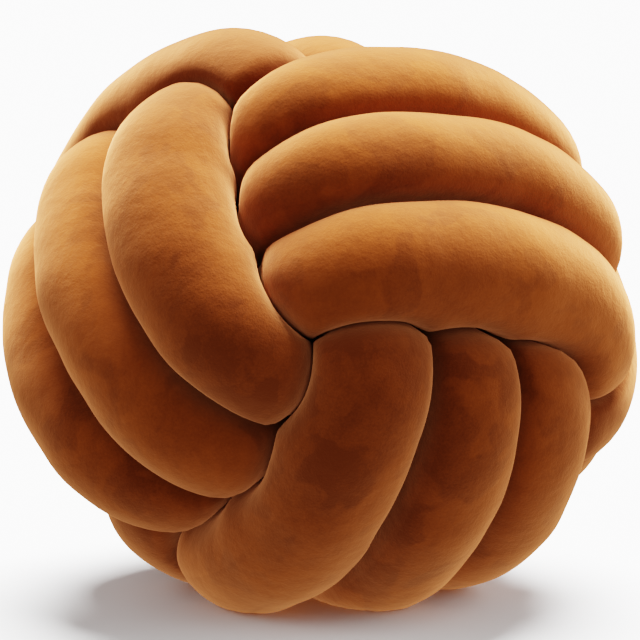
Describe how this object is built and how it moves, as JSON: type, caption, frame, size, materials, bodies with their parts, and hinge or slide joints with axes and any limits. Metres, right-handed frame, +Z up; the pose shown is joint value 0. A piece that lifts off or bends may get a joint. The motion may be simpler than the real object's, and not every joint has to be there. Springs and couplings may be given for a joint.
{
  "type": "knot cushion",
  "caption": "Round velvet knot cushion, tied as a ball from one long stuffed tube; a soft prop for a sofa, bed or chair.",
  "frame": {"origin": "centre of the footprint on the surface that the cushion rests on", "axes": "+X to the cushion's right as its best side is looked at, +Y away from the viewer, +Z up"},
  "size_m": [0.3, 0.292, 0.267],
  "materials": {
    "velvet": "rust brown short-pile velvet"
  },
  "bodies": {
    "root": {"knotted_tube": "velvet"}
  },
  "joints": []
}
